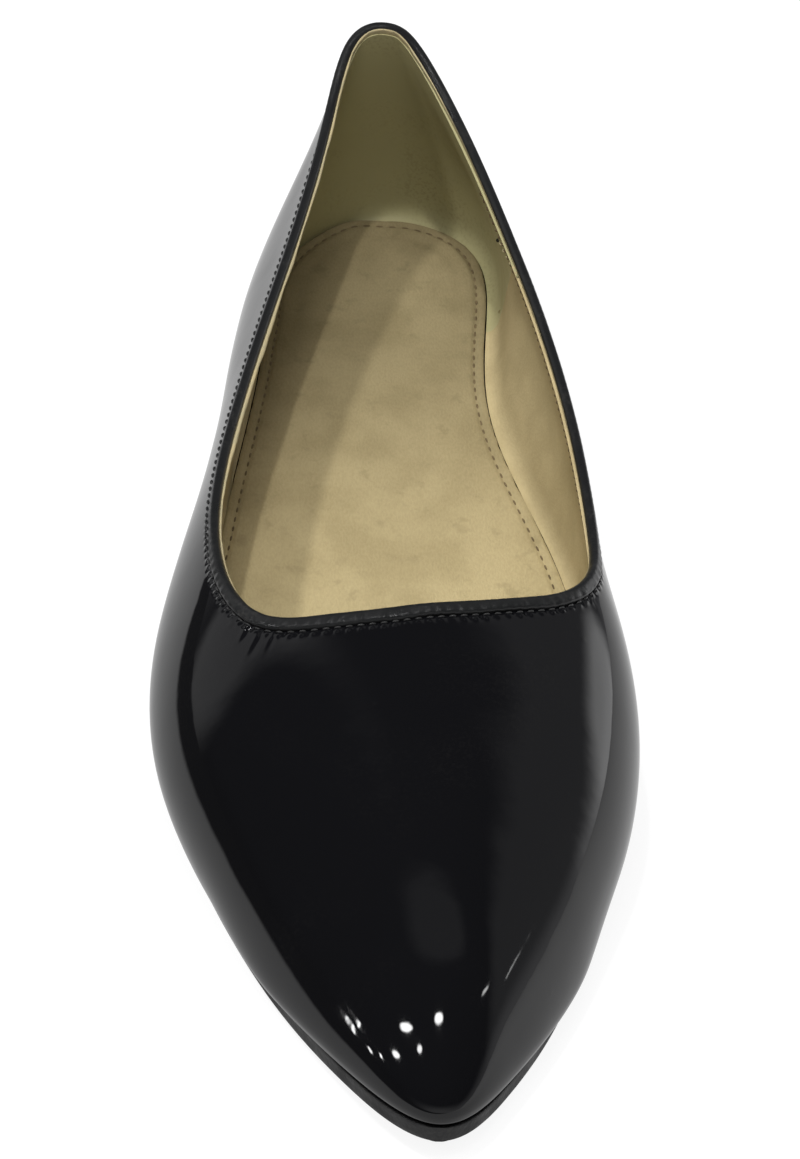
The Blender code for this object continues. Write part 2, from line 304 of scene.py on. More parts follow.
# many stitches as one mesh: short round threads that dip into the leather at both ends
def stitchMesh(name, centres, tangents, normals, stitch, material):
    spots = (-1.0, -0.72, -0.35, 0.0, 0.35, 0.72, 1.0)
    girths = (0.45, 0.85, 1.0, 1.0, 1.0, 0.85, 0.45)
    sides = 8
    angle = np.arange(sides) / sides * 2 * math.pi
    across = unit(np.cross(tangents, normals))
    count = len(centres)
    verts = np.zeros((count, len(spots), sides, 3))
    for k, (spot, girth) in enumerate(zip(spots, girths)):
        lift = stitch["lift"] - stitch["dip"] * spot**2
        middle = centres + tangents * spot * stitch["length"] / 2 + normals * lift
        for side, turn in enumerate(angle):
            reach = across * math.cos(turn) + normals * math.sin(turn)
            verts[:, k, side] = middle + reach * girth * stitch["radius"]
    faces = []
    for s in range(count):
        base = s * len(spots) * sides
        for k in range(len(spots) - 1):
            for side in range(sides):
                nextSide = (side + 1) % sides
                low, high = base + k * sides, base + (k + 1) * sides
                faces.append((low + side, low + nextSide, high + nextSide, high + side))
        faces.append([base + side for side in range(sides)][::-1])
        faces.append([base + (len(spots) - 1) * sides + side for side in range(sides)])
    mesh = bpy.data.meshes.new(name)
    mesh.from_pydata(verts.reshape(-1, 3).tolist(), [], faces)
    return finishMesh(name, mesh, material)


def smoothNoise(u, seed, knots):
    rng = np.random.default_rng(seed)
    values = rng.uniform(-1, 1, knots)
    return closedSpline(values[:, None], np.asarray(u) * knots)[:, 0]


# shader building

def setInputs(tree, node, inputs):
    for key, value in inputs.items():
        if isinstance(value, bpy.types.NodeSocket):
            tree.links.new(value, node.inputs[key])
        else:
            node.inputs[key].default_value = value
    return node


def newMaterial(name, values):
    material = bpy.data.materials.new(name)
    material.use_nodes = True
    tree = material.node_tree
    return material, tree, setInputs(tree, tree.nodes["Principled BSDF"], values)


def addNode(tree, kind, inputs=None, **settings):
    node = tree.nodes.new(kind)
    for key, value in settings.items():
        setattr(node, key, value)
    return setInputs(tree, node, inputs or {})


def mathNode(tree, operation, a, b=0.0, clamp=False):
    node = addNode(tree, "ShaderNodeMath", {0: a, 1: b}, operation=operation, use_clamp=clamp)
    return node.outputs[0]


def vectorValue(tree, operation, a, b):
    node = addNode(tree, "ShaderNodeVectorMath", {0: a, 1: b}, operation=operation)
    return node.outputs["Value"]


def rangeNode(tree, value, low, high, toLow=0.0, toHigh=1.0):
    inputs = {"Value": value, "From Min": low, "From Max": high, "To Min": toLow, "To Max": toHigh}
    node = addNode(tree, "ShaderNodeMapRange", inputs, interpolation_type="SMOOTHSTEP")
    return node.outputs["Result"]


def mixColour(tree, factor, a, b, blend="MIX"):
    inputs = {"Factor": factor, 6: a, 7: b}
    return addNode(tree, "ShaderNodeMix", inputs, data_type="RGBA", blend_type=blend).outputs[2]


def mixValue(tree, factor, a, b):
    return addNode(tree, "ShaderNodeMix", {0: factor, 2: a, 3: b}).outputs[0]


def greyNode(tree, value):
    return addNode(tree, "ShaderNodeCombineColor", {0: value, 1: value, 2: value}).outputs[0]


def objectPlace(tree):
    return addNode(tree, "ShaderNodeTexCoord").outputs["Object"]


def noiseNode(tree, place, scale, detail=2.0, roughness=0.5):
    inputs = {"Vector": place, "Scale": scale, "Detail": detail, "Roughness": roughness}
    return addNode(tree, "ShaderNodeTexNoise", inputs).outputs["Fac"]


def cellNode(tree, place, scale):
    inputs = {"Vector": place, "Scale": scale}
    return addNode(tree, "ShaderNodeTexVoronoi", inputs, feature="F1").outputs["Distance"]


def bumpNode(tree, height, distance, strength=1.0, normal=None):
    inputs = {"Height": height, "Distance": distance, "Strength": strength}
    if normal is not None:
        inputs["Normal"] = normal
    return addNode(tree, "ShaderNodeBump", inputs).outputs["Normal"]


def darker(colour, share):
    return tuple(share * part for part in colour[:3]) + (1.0,)


def newGroup(name, inputs, outputs):
    group = bpy.data.node_groups.new(name, "ShaderNodeTree")
    for label, value in inputs.items():
        kind = "NodeSocketColor" if isinstance(value, tuple) else "NodeSocketFloat"
        socket = group.interface.new_socket(name=label, in_out="INPUT", socket_type=kind)
        socket.default_value = value
    for label in outputs:
        kind = "NodeSocketColor" if label == "Colour" else "NodeSocketFloat"
        group.interface.new_socket(name=label, in_out="OUTPUT", socket_type=kind)
    given = group.nodes.new("NodeGroupInput").outputs
    return group, given, group.nodes.new("NodeGroupOutput")


def useGroup(tree, group, values):
    return addNode(tree, "ShaderNodeGroup", values, node_tree=group).outputs


# leather and rubber grain: a pebble and a finer noise as one height
def makeGrainGroup():
    group, given, out = newGroup("leatherGrain", {"Size": 900.0, "Pebble": 0.6}, ("Height",))
    place = objectPlace(group)
    pebbles = mathNode(group, "MULTIPLY", cellNode(group, place, given["Size"]), given["Pebble"])
    fine = noiseNode(group, place, given["Size"], 3.0)
    setInputs(group, out, {"Height": mathNode(group, "ADD", pebbles, fine)})
    return group


# a thin uneven dulling, such as dust and rubbed polish, as a mask and a tint for the colour
def makeDustGroup():
    inputs = {"Colour": (0.01, 0.01, 0.01, 1.0), "Dust": (0.3, 0.28, 0.25, 1.0)}
    inputs.update({"Amount": 0.1, "Patch": 60.0})
    group, given, out = newGroup("thinDust", inputs, ("Colour", "Mask"))
    place = objectPlace(group)
    patches = rangeNode(group, noiseNode(group, place, given["Patch"], 4.0), 0.45, 0.75)
    specks = rangeNode(group, noiseNode(group, place, 1600.0, 1.0), 0.45, 0.7)
    both = mathNode(group, "MULTIPLY", patches, specks)
    mask = mathNode(group, "MULTIPLY", both, given["Amount"], clamp=True)
    colour = mixColour(group, mask, given["Colour"], given["Dust"])
    setInputs(group, out, {"Colour": colour, "Mask": mask})
    return group


# the nap of suede: short brushed fibres, with soft patches where it lies another way
def makeNapGroup():
    inputs = {"Colour": (0.4, 0.33, 0.2, 1.0), "Shade": (0.3, 0.25, 0.15, 1.0)}
    inputs.update({"Patch": 90.0, "Fibre": 2600.0})
    group, given, out = newGroup("suedeNap", inputs, ("Colour", "Height"))
    place = objectPlace(group)
    brushed = addNode(group, "ShaderNodeMapping", {"Vector": place, "Scale": (1.0, 0.45, 1.0)})
    fibre = noiseNode(group, brushed.outputs[0], given["Fibre"])
    patches = rangeNode(group, noiseNode(group, place, given["Patch"], 5.0), 0.38, 0.66)
    fibres = rangeNode(group, fibre, 0.3, 0.7, 0.0, 0.35)
    shade = mathNode(group, "ADD", mathNode(group, "MULTIPLY", patches, 0.6), fibres, clamp=True)
    colour = mixColour(group, shade, given["Colour"], given["Shade"])
    setInputs(group, out, {"Colour": colour, "Height": fibre})
    return group


# leather or rubber: dust on its colour, an uneven polish (noise scale and detail, and where on
# that noise it is roughest) and a pebbled grain
def makeGrainyMaterial(name, dusty, polish, roughness, grain, bump, dulled=True):
    material, tree, shader = newMaterial(name, {"IOR": 1.5})
    dust = useGroup(tree, dustGroup, dusty)
    scale, detail, roughest = polish
    uneven = noiseNode(tree, objectPlace(tree), scale, detail)
    worn = rangeNode(tree, uneven, 0.3, roughest, *roughness)
    pebbles = useGroup(tree, grainGroup, grain)
    setInputs(tree, shader, {
        "Base Color": dust["Colour"],
        "Roughness": mathNode(tree, "ADD", worn, dust["Mask"]) if dulled else worn,
        "Normal": bumpNode(tree, pebbles["Height"], *bump),
    })
    return material


# suede or thread
def makeNapMaterial(name, surface, nap, bump):
    material, tree, shader = newMaterial(name, surface)
    fibres = useGroup(tree, napGroup, nap)
    normal = bumpNode(tree, fibres["Height"], *bump)
    setInputs(tree, shader, {"Base Color": fibres["Colour"], "Normal": normal})
    return material


def makeSuedeMaterial(name, colour, shade, patch, roughness=0.95):
    surface = {"Roughness": roughness, "Specular IOR Level": 0.25}
    nap = {"Colour": colour, "Shade": shade, "Patch": patch}
    return makeNapMaterial(name, surface, nap, (0.00016, 0.5))


def makeThreadMaterial(name, colour, roughness):
    nap = {"Colour": colour, "Shade": darker(colour, 0.7), "Patch": 300.0, "Fibre": 5000.0}
    return makeNapMaterial(name, {"Roughness": roughness}, nap, (0.00003, 0.6))


grainGroup = makeGrainGroup()
dustGroup = makeDustGroup()
napGroup = makeNapGroup()
print("shader groups made")

# the patent upper

upperLook = {
    "leather": 0.0011,          # the patent layer alone; the linings fill the rest of the wall
    "rays": 1300,
    "wallSteps": 36,
    "stitchPitch": 0.0020,
    "footTightness": 0.95,      # how square the wall turns under at the sole
    "toeFull": 0.0014,          # how far the lower wall stands out over the sole, round the toe
    "toeFullHeight": 0.0065,
    "toeFullStart": 0.77,       # share of the length, with the ease after it
    "toeFullEase": 0.10,
    "pucker": 0.00021,          # height of the swellings between stitches
    "puckerDown": 0.0007,       # how far below the strip's edge they are highest
    "puckerSpread": 0.0005,
    "ditch": 0.00022,           # depth of the line along the strip's edge
    "ditchSpread": 0.00035,
    "puckeredZone": 0.0030,
    "smoothZone": 0.0040,       # below the strip, where the slow wave fades out
    "wave": 0.00004,
    "colour": (0.0035, 0.0035, 0.0042, 1.0),
    "gloss": 0.028,
}
# short pleats that run down from the binding: place in rows, length, height, half width
pleatColumns = ("place", "length", "height", "halfWidth")
pleats = (
    (6.35, 0.0036, 0.00013, 0.00070),
    (6.62, 0.0052, 0.00018, 0.00085),
    (6.86, 0.0058, 0.00018, 0.00080),
    (7.10, 0.0038, 0.00014, 0.00065),
    (13.55, 0.0032, 0.00008, 0.00075),
)


def stitchCount(length, pitch):
    return int(round(length / pitch))


upperRays = shapeLast(evenPlaces(upperLook["rays"]))
rimTravel = loopLength(upperRays["topline"])
rimStitches = stitchCount(rimTravel[-1], upperLook["stitchPitch"])
rimPhase = rimTravel / rimTravel[-1] * rimStitches


# how far the skin rises at a distance below the strip's edge, for puckers, ditch and pleats
def skinRise(places, phase, below):
    look = upperLook
    swell = bell(below - look["puckerDown"], look["puckerSpread"]) * (1 - bell(below, 0.0002))
    uneven = 0.75 + 0.35 * smoothNoise(places / rowCount, 11, 60)
    rise = look["pucker"] * swell * uneven * np.cos(2 * math.pi * (phase + 0.5))
    rise = rise - look["ditch"] * bell(below, look["ditchSpread"])
    for row in pleats:
        pleat = dict(zip(pleatColumns, row))
        apart, half = (places - pleat["place"]) / rowCount * rimTravel[-1], pleat["halfWidth"]
        ridge = bell(apart, half) - 0.5 * bell(apart - 2 * half, half)
        fade = smoothStep((pleat["length"] - below) / pleat["length"])
        rise = rise + pleat["height"] * ridge * fade
    return rise


# a slow unevenness of the lasted leather, which breaks up its reflections a little
def lastedWave(points):
    x, y, z = points[..., 0], points[..., 1], points[..., 2]
    broad = np.sin(190 * x + 60 * y + 1.0) * np.sin(150 * y + 2.0)
    return upperLook["wave"] * (broad + 0.6 * np.sin(330 * x - 120 * z + 0.4))


# how far the lower wall stands out at a point, round the toe alone
def toeFullness(last, points):
    look = upperLook
    toeward = smoothStep((last["along"] - look["toeFullStart"]) / look["toeFullEase"])
    above = np.clip((points[:, 2] - last["feather"][:, 2]) / look["toeFullHeight"], 0.0, None)
    full = look["toeFull"] * toeward * bell(above, 1.0)
    return last["featherOut"] * full[:, None]


def makeUpper(material):
    look, form, last = upperLook, lastForm, upperRays
    wallFoot = shareAfter(last, form["featherRadius"], 0.0, 0.5)
    stripEdge = wallPoints(last, belowRim(last, form["bindingWidth"]))
    zoneStart = belowRim(last, form["bindingWidth"] + look["puckeredZone"])
    margin = onSole(last["feather"] - last["featherOut"] * form["lastingMargin"])
    bendStart = onSole(last["feather"] - last["featherOut"] * form["featherRadius"])
    footPoint = wallPoints(last, wallFoot)
    footPoint = footPoint + toeFullness(last, footPoint)
    corner = last["feather"] + toeFullness(last, last["feather"])
    leads = [end + (corner - end) * look["footTightness"] for end in (bendStart, footPoint)]
    outer = [margin, bendStart]
    for t in (0.12, 0.24, 0.36, 0.47, 0.58, 0.68, 0.79, 0.9):
        outer.append(bezier(bendStart, *leads, footPoint, t))
    steps = np.linspace(0, 1, look["wallSteps"])
    rows = [(wallFoot + (zoneStart - wallFoot) * step, None) for step in steps]
    for below in (0.0024, 0.0019, 0.0015, 0.0012, 0.0009, 0.0006, 0.0003, 0.0):
        rows.append((belowRim(last, form["bindingWidth"] + below), below))
    for share, below in rows:
        point = wallPoints(last, share)
        if below is None:
            below = np.linalg.norm(point - stripEdge, axis=1)
        rise = skinRise(last["places"], rimPhase[:-1], below)
        rise = rise + lastedWave(point) * smoothStep(below / look["smoothZone"])
        outer.append(offWall(last, share, rise) + toeFullness(last, point))
    # under the strip, over the edge and back down inside
    for below, depth in ((0.0014, 0.00025), (0.0006, 0.00022), (0.0, 0.00030)):
        outer.append(offWall(last, belowRim(last, below) if below else 1.0, -depth))
    thick = look["leather"]
    inner = [offWall(last, 1.0, 0.0001 - thick)]
    for t in np.linspace(1, 0, 14)[1:]:
        inner.append(offWall(last, wallFoot + (1.0 - wallFoot) * t, -thick))
    cornerIn = bendStart - last["featherOut"] * 0.0002 + upward * thick
    inner.append((inner[-1] + cornerIn) / 2 + last["featherOut"] * 0.0003)
    inner.append(cornerIn)
    inner.append(margin + upward * thick)
    points = np.array(outer + inner)
    piece = surfaceMesh("patentUpper", points, material)
    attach(piece, "root")
    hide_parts("upper")
    return piece


def makePatentMaterial():
    look = upperLook
    material, tree, shader = newMaterial("patentLeather", {"IOR": 1.5})
    dust = useGroup(tree, dustGroup, {"Colour": look["colour"], "Amount": 0.006, "Patch": 45.0})
    place = objectPlace(tree)
    rubbed = noiseNode(tree, place, 38.0, 3.0)
    polish = rangeNode(tree, rubbed, 0.35, 0.75, look["gloss"], look["gloss"] + 0.03)
    orange = mathNode(tree, "MULTIPLY", noiseNode(tree, place, 420.0, 1.0), 0.08)
    waves = mathNode(tree, "ADD", noiseNode(tree, place, 90.0, 1.0), orange)
    dents = rangeNode(tree, cellNode(tree, place, 55.0), 0.0, 0.06, 1.0, 0.0)
    wavy = bumpNode(tree, waves, 0.00035, 0.22)
    setInputs(tree, shader, {
        "Base Color": dust["Colour"],
        "Roughness": mathNode(tree, "ADD", polish, dust["Mask"]),
        "Normal": bumpNode(tree, dents, 0.00004, 0.35, wavy),
    })
    return material


patentMaterial = makePatentMaterial()
patentUpper = makeUpper(patentMaterial)
print("upper made,", len(patentUpper.data.polygons), "faces")

# the strip folded over the topline, and its stitches

bindingLook = {
    "rays": 1500,
    "proud": 0.00088,           # of the upper, outside
    "inside": 0.00100,          # how far over the rim it reaches
    "crown": 0.00085,
    "pull": 0.00011,            # how far each stitch draws the strip in
    "corners": ((6.6, 1.0), (13.8, 0.6)),   # where it is rucked: place in rows, share
    "cornerReach": 0.8,         # in rows
    "rucked": 0.00007,
    "gathers": ((5, 90, 0.00005), (6, 260, 0.00003)),       # seed, knots round the rim, height
    "widthWaver": (7, 40, 0.00012),
    "dusty": {"Colour": (0.0105, 0.0108, 0.0110, 1.0), "Amount": 0.06, "Patch": 130.0},
    "polish": (260.0, 3.0, 0.75),           # noise scale and detail, and where it is roughest
    "roughness": (0.27, 0.41),
    "grain": {"Size": 1500.0, "Pebble": 0.8},
    "bump": (0.00005, 0.5),
}
threadLook = {
    "length": 0.00125, "radius": 0.00019, "lift": 0.00012, "dip": 0.00016,
    "below": 0.00026,           # the strip's edge
    "onStrip": 0.00066,         # how far up onto the strip they lie along the outer side
    "stripLift": 0.00084,
    "stripRows": (1.5, 0.9, 6.1, 0.9),      # start, ease, end and ease of that stretch
    "sunk": 0.00004,
    "colour": (0.034, 0.034, 0.034, 1.0),
    "roughness": 0.30,
}


def makeBinding(material):
    look, form = bindingLook, lastForm
    last = shapeLast(evenPlaces(look["rays"]))
    travelled = loopLength(last["topline"])
    phase = (travelled / travelled[-1] * rimStitches)[:-1]
    u = last["places"] / rowCount
    edge, out, up = last["topline"], wallNormals(last, 1.0), rimUp(last)
    gather = sum(smoothNoise(u, seed, knots) * height for seed, knots, height in look["gathers"])
    drawn = look["pull"] * (0.5 + 0.5 * np.cos(2 * math.pi * phase))
    corners = [share * bell(last["places"] - place, look["cornerReach"])
               for place, share in look["corners"]]
    rucked = sum(corners) * look["rucked"] * np.cos(2 * math.pi * phase * 0.5 + 1.0)
    seed, knots, waver = look["widthWaver"]
    width = form["bindingWidth"] + smoothNoise(u, seed, knots) * waver
    rings = []
    # up the outside: share of the width, rise off the upper, share of the unevenness
    for wide, lift, weight in (
        (0.00, -0.00014, 0.0), (0.03, 0.00020, 0.3), (0.08, 0.00046, 0.7), (0.16, 0.00066, 1.0),
        (0.30, 0.00078, 1.0), (0.52, 0.00084, 0.8), (0.76, 0.00087, 0.5), (0.94, 0.00090, 0.3),
    ):
        share = belowRim(last, width * (1 - wide))
        rings.append(offWall(last, share, lift + weight * (gather - drawn + rucked)))
    proud, inside = look["proud"], look["inside"]
    middle = edge + out * ((proud - inside) / 2)
    for degrees in (12, 26, 42, 58, 74, 90, 106, 122, 138, 154, 168):
        turn = math.radians(degrees)
        rise = look["crown"] * math.sin(turn) ** 0.75 + 0.4 * gather
        rings.append(middle + out * ((proud + inside) / 2) * math.cos(turn) + up * rise[:, None])
    rings.append(edge - out * inside + up * 0.00004)
    rings.append(edge - out * (inside - 0.00025) - up * 0.00004)
    rings.append(edge - out * 0.0003 - up * 0.00003)
    rings.append(offWall(last, belowRim(last, 0.0008), -0.00012))
    piece = surfaceMesh("toplineStrip", np.array(rings), material)
    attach(piece, "root")
    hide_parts("topline_binding")


def rimStitchPlaces():
    fine = np.linspace(0, rowCount, 4001)
    travelled = loopLength(shapeLast(fine[:-1])["topline"])
    at = (np.arange(rimStitches) + 0.5) / rimStitches * travelled[-1]
    return np.interp(at, travelled, fine) % rowCount


def makeRimStitches(material):
    look, places = threadLook, rimStitchPlaces()
    last = shapeLast(places)
    onStrip = between(places, *look["stripRows"])
    below = lastForm["bindingWidth"] + look["below"] - look["onStrip"] * onStrip
    share = belowRim(last, below)
    centres, normals = wallPoints(last, share), rayNormals(places, share)
    tangents = unit(alongLoop(centres))
    centres = centres + normals * (look["stripLift"] * onStrip - look["sunk"])[:, None]
    piece = stitchMesh("rimStitches", centres, tangents, normals, look, material)
    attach(piece, "root")


finish = [bindingLook[part] for part in ("dusty", "polish", "roughness", "grain", "bump")]
bindingMaterial = makeGrainyMaterial("bindingPatent", *finish)
makeBinding(bindingMaterial)
threadMaterial = makeThreadMaterial("blackThread", threadLook["colour"], threadLook["roughness"])
makeRimStitches(threadMaterial)
print("topline strip and", rimStitches, "stitches made")

# linings: a smooth one round the heel, a suede one in the forepart, and their pale folded edge

sockLook = {
    "stations": 300,
    "across": 110,
    "edgeRound": 0.0006,
    "reach": 0.0037,            # of the suede past the board along the outer side
    "reachAlong": (0.20, 0.20, 0.86, 0.18),     # start, ease, end and ease of that stretch
    "heelReach": 0.0022,        # and at the heel's outer corner
    "stitchInset": 0.0019,
    "stitchPitch": 0.0026,
    "stitchEnd": 0.93,          # share of the length where the row ends under the vamp
    "stitchSunk": 0.00004,
    "groove": 0.00040,
    "grooveHalfWidth": 0.00050,
    "ring": 0.00022,            # depth of a soft pressed ring inside the stitching, at the heel
    "ringInset": 0.0052,
    "ringSpread": 0.0012,
    "ringStart": 0.060,         # along Y, with the ease after it
    "ringEase": 0.040,
    "crown": 0.00020,
    "worn": 0.00025,            # depth of the hollow under the heel
    "wornAt": (0.004, 0.088),
    "wornSpread": (0.014, 0.020),
    "colour": (0.445, 0.365, 0.200, 1.0),
    "shade": (0.340, 0.275, 0.145, 1.0),
    "heelPaintedShade": 0.60,          # painted shade: how much darker the sock's colour is made towards the heel
    "stain": (0.20, 0.15, 0.075, 1.0),
}

liningLook = {
    "thickness": 0.00045,
    "overlap": 0.00004,         # the suede lining stands this much proud at the seams
    "wave": 0.00010,
    "topShare": 0.985,          # of the wall's height, where the lining ends under the strip
    "backShare": 0.045,         # and where its back begins
    "footRise": 0.0030,         # over the sock, where the lining leaves the wall for its edge
    "footGap": 0.00030,
    "footSink": 0.00080,
    "seamFoot": 2.34,           # rows from the heel, and from the toe, to the seams at the foot
    "seamSlant": 0.64,
    "edgeWidth": 0.00052,
    "loose": (3.9, 0.55, 0.75),     # where the fold has come loose: row, reach, share more
    "heelReach": 1.6,               # rows where it is narrower, and the share less
    "heelLess": 0.35,
    "innerSide": 0.14,          # of that width along the inner side, where the fold lies flat
    "edgeRise": 0.00050,
    "edgeFall": 0.0012,
    "edgeBack": ((0.0012, 0.00118), (0.0005, 0.00112)),     # depth at two distances below the rim
    "suede": (0.470, 0.385, 0.215, 1.0),
    "suedeShade": (0.390, 0.318, 0.172, 1.0),
    "smooth": (0.370, 0.340, 0.180, 1.0),
    "smoothShade": (0.300, 0.272, 0.140, 1.0),
    "edge": (0.37, 0.325, 0.200, 1.0),
    "stitchDown": 0.0022,       # of the topline's stitches below the rim, inside
    "stitchStart": 0.15,        # share of the length where they begin to show
    "thread": (0.115, 0.078, 0.042, 1.0),
}
innerThread = {"length": 0.00095, "radius": 0.00019, "lift": 0.00006, "dip": 0.00012}


# how far the sock reaches past the insole board, up against the outer side's lining
def sockReach(places):
    along = shapeLast(places)["along"]
    ball = between(along, *sockLook["reachAlong"]) * sockLook["reach"]
    heel = smoothStep(places / 0.6) * smoothStep((0.16 - along) / 0.09) * sockLook["heelReach"]
    return np.where(places % rowCount < rowCount / 2, ball + heel, 0.0)


def sockEdge(places, outward, lift):
    last = shapeLast(places)
    inset = lastForm["upperWall"] + lastForm["insoleClearance"]
    offset = sockReach(places) + outward - inset
    loop = last["feather"] + footNormals(places) * offset[:, None]
    loop[:, 2] = insoleTop(alongOf(loop)) + lift
    return loop


# the lining's face: from the sock's edge by a soft curve to the wall, and up the wall to the rim
def makeLining(name, centreRow, halfSpan, slant, extra, material, steps=(150, 30)):
    look, form = liningLook, lastForm
    across = np.linspace(-1, 1, steps[0])
    deep = form["upperWall"] + extra
    shallow = form["upperWall"] - look["thickness"]
    shares = np.linspace(0.0, 0.7, 60)

    def turnShares(places):
        last = shapeLast(places)
        rise = np.array([wallPoints(last, share)[:, 2] for share in shares])
        want = sockEdge(places, 0.0, look["footRise"])[:, 2]
        return np.array([np.interp(want[ray], rise[:, ray], shares) for ray in range(len(want))])

    def wallAt(places, share, depth):
        return wallPoints(shapeLast(places), share) - rayNormals(places, share) * depth

    face, back, foot = [], [], look["backShare"]
    places = (centreRow + across * halfSpan) % rowCount
    turn = turnShares(places)
    start = sockEdge(places, look["footGap"], -look["footSink"] + extra)
    end = wallAt(places, turn, deep)
    lead = unit(end - wallAt(places, turn + 0.01, deep))
    outward = np.linalg.norm((end - start)[:, :2], axis=1)[:, None]
    bends = (start + footNormals(places) * 0.5 * outward, end + lead * 0.6 * (end - start)[:, 2:3])
    for t in np.linspace(0, 1, 10)[:-1]:
        face.append(bezier(start, *bends, end, t))
        back.append(wallAt(places, foot + (turn - foot) * t, shallow))
    for height in np.linspace(0, 1, steps[1]):
        places = (centreRow + across * (halfSpan + slant * height)) % rowCount
        turn = turnShares(places)
        share = turn + (look["topShare"] - turn) * height
        swell = look["wave"] * np.sin(across * 9.0) * math.sin(3.1 * height)
        face.append(wallAt(places, share, deep + swell[:, None]))
        back.append(wallAt(places, share, shallow))
    points = np.concatenate([np.array(face), np.array(back)[::-1]])
    piece = surfaceMesh(name, points, material, "paired")
    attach(piece, "root")


# the pale fold that shows inside the strip; it stands out most along the outer side, where it
# has come loose
def makeLiningEdge(material):
    look, last = liningLook, shapeLast(evenPlaces(900))
    places = last["places"]
    u = places / rowCount
    edge, out, up = last["topline"], wallNormals(last, 1.0), rimUp(last)
    row, reach, more = look["loose"]
    loose = more * bell(places - row, reach)
    heel = look["heelLess"] * bell((places + 10) % rowCount - 10, look["heelReach"])
    inner = between(places, rowCount / 2, 1.5, rowCount - 1.0, 1.2)
    uneven = 1 + 0.18 * smoothNoise(u, 21, 120) + 0.10 * smoothNoise(u, 22, 300)
    wide = 1 + loose - heel - (1 - look["innerSide"]) * inner
    width = look["edgeWidth"] * uneven * wide
    start = bindingLook["inside"] + 0.00002
    top = look["edgeRise"] * (1 + 0.2 * smoothNoise(u, 23, 80))
    rings = []
    for side, rise in (
        (0.0, -0.3), (0.0, 0.55), (0.12, 0.88), (0.38, 1.0), (0.68, 0.96), (0.90, 0.72), (1.0, 0.3),
    ):
        rings.append(edge - out * (start + width * side)[:, None] + up * (top * rise)[:, None])
    for below in (0.35, 0.7, 1.0):
        share = belowRim(last, look["edgeFall"] * below)
        rings.append(offWall(last, share, -(start + width * (1.0 - 0.35 * below**2))))
    for below, depth in look["edgeBack"]:
        rings.append(offWall(last, belowRim(last, below), -depth))
    piece = surfaceMesh("liningEdge", np.array(rings), material)
    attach(piece, "root")


# the topline's stitches as they come through inside
def makeInnerStitches(material):
    look, places = liningLook, rimStitchPlaces()
    last = shapeLast(places)
    share = belowRim(last, look["stitchDown"])
    normals = -rayNormals(places, share)
    centres = wallPoints(last, share) + normals * (lastForm["upperWall"] + look["overlap"])
    shown = last["along"] > look["stitchStart"]
    rows = [part[shown] for part in (centres, unit(alongLoop(centres)), normals)]
    piece = stitchMesh("innerStitches", *rows, innerThread, material)
    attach(piece, "root")


# loose cream stitches under the inner side's rim and at the seam's foot, and one dark knot:
# place in rows, share of the wall's height, rise of the share per row
creamThread = {"length": 0.00170, "radius": 0.00021, "lift": 0.00004, "dip": 0.00012}
knotThread = {"length": 0.00090, "radius": 0.00036, "lift": 0.00010, "dip": 0.00010}
creamPlaces = (
    (17.36, 0.848, 0.30), (17.27, 0.872, 0.35), (17.18, 0.900, 0.40), (17.09, 0.938, 0.45),
    (17.775, 0.070, 1.6), (17.735, 0.125, 1.6),
)
knotPlaces = ((17.41, 0.830, 0.30),)


def makeMarks(name, rows, stitch, material):
    places, share, rise = np.array(rows).T
    normals = -rayNormals(places, share)
    wall = wallPoints(shapeLast(places), share)
    ahead = wallPoints(shapeLast(places - 0.01), share + 0.01 * rise)
    centres = wall + normals * (lastForm["upperWall"] + liningLook["overlap"])
    piece = stitchMesh(name, centres, unit(ahead - wall), normals, stitch, material)
    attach(piece, "root")


look = liningLook
suedeLiningMaterial = makeSuedeMaterial("suedeLining", look["suede"], look["suedeShade"], 110.0)
smoothLiningMaterial = makeGrainyMaterial(
    "smoothLining",
    {"Colour": look["smooth"], "Dust": look["smoothShade"], "Amount": 0.9, "Patch": 70.0},
    (120.0, 2.0, 0.7), (0.46, 0.60), {"Size": 1100.0, "Pebble": 0.9}, (0.00006, 0.5), dulled=False,
)
edgeMaterial = makeSuedeMaterial("liningEdgeSuede", look["edge"], look["suede"], 260.0, 0.85)
heelSpan, slant = look["seamFoot"], look["seamSlant"]
toeSpan = rowCount / 2 - heelSpan
makeLining("heelLining", 0.0, heelSpan + 0.10, slant, 0.0, smoothLiningMaterial)
makeLining(
    "forepartLining", 10.0, toeSpan, -slant, look["overlap"], suedeLiningMaterial, (420, 34)
)
makeLiningEdge(edgeMaterial)
makeInnerStitches(makeThreadMaterial("innerThread", look["thread"], 0.8))
makeMarks("creamStitches", creamPlaces, creamThread, edgeMaterial)
knotMaterial = makeThreadMaterial("knotThread", (0.010, 0.008, 0.006, 1.0), 0.6)
makeMarks("threadKnot", knotPlaces, knotThread, knotMaterial)
print("linings made")

# the insole with its suede sock

sockThread = {"length": 0.00155, "radius": 0.00022, "lift": 0.00006, "dip": 0.00014}
# small brown spots on the sock: x, y, radius
sockSpots = ((-0.0205, 0.0114, 0.0007), (0.0105, 0.0460, 0.0006), (0.0020, -0.0050, 0.0005))
spotHeight = 0.0112


def edgeLoop(offset, count=1200):
    last = shapeLast(np.linspace(0, rowCount, count, endpoint=False))
    return last["feather"] + last["featherOut"] * np.asarray(offset(last["along"]))[:, None]


def sockLoop(inward, count=1200):
    return sockEdge(np.linspace(0, rowCount, count, endpoint=False), -inward, 0.0)


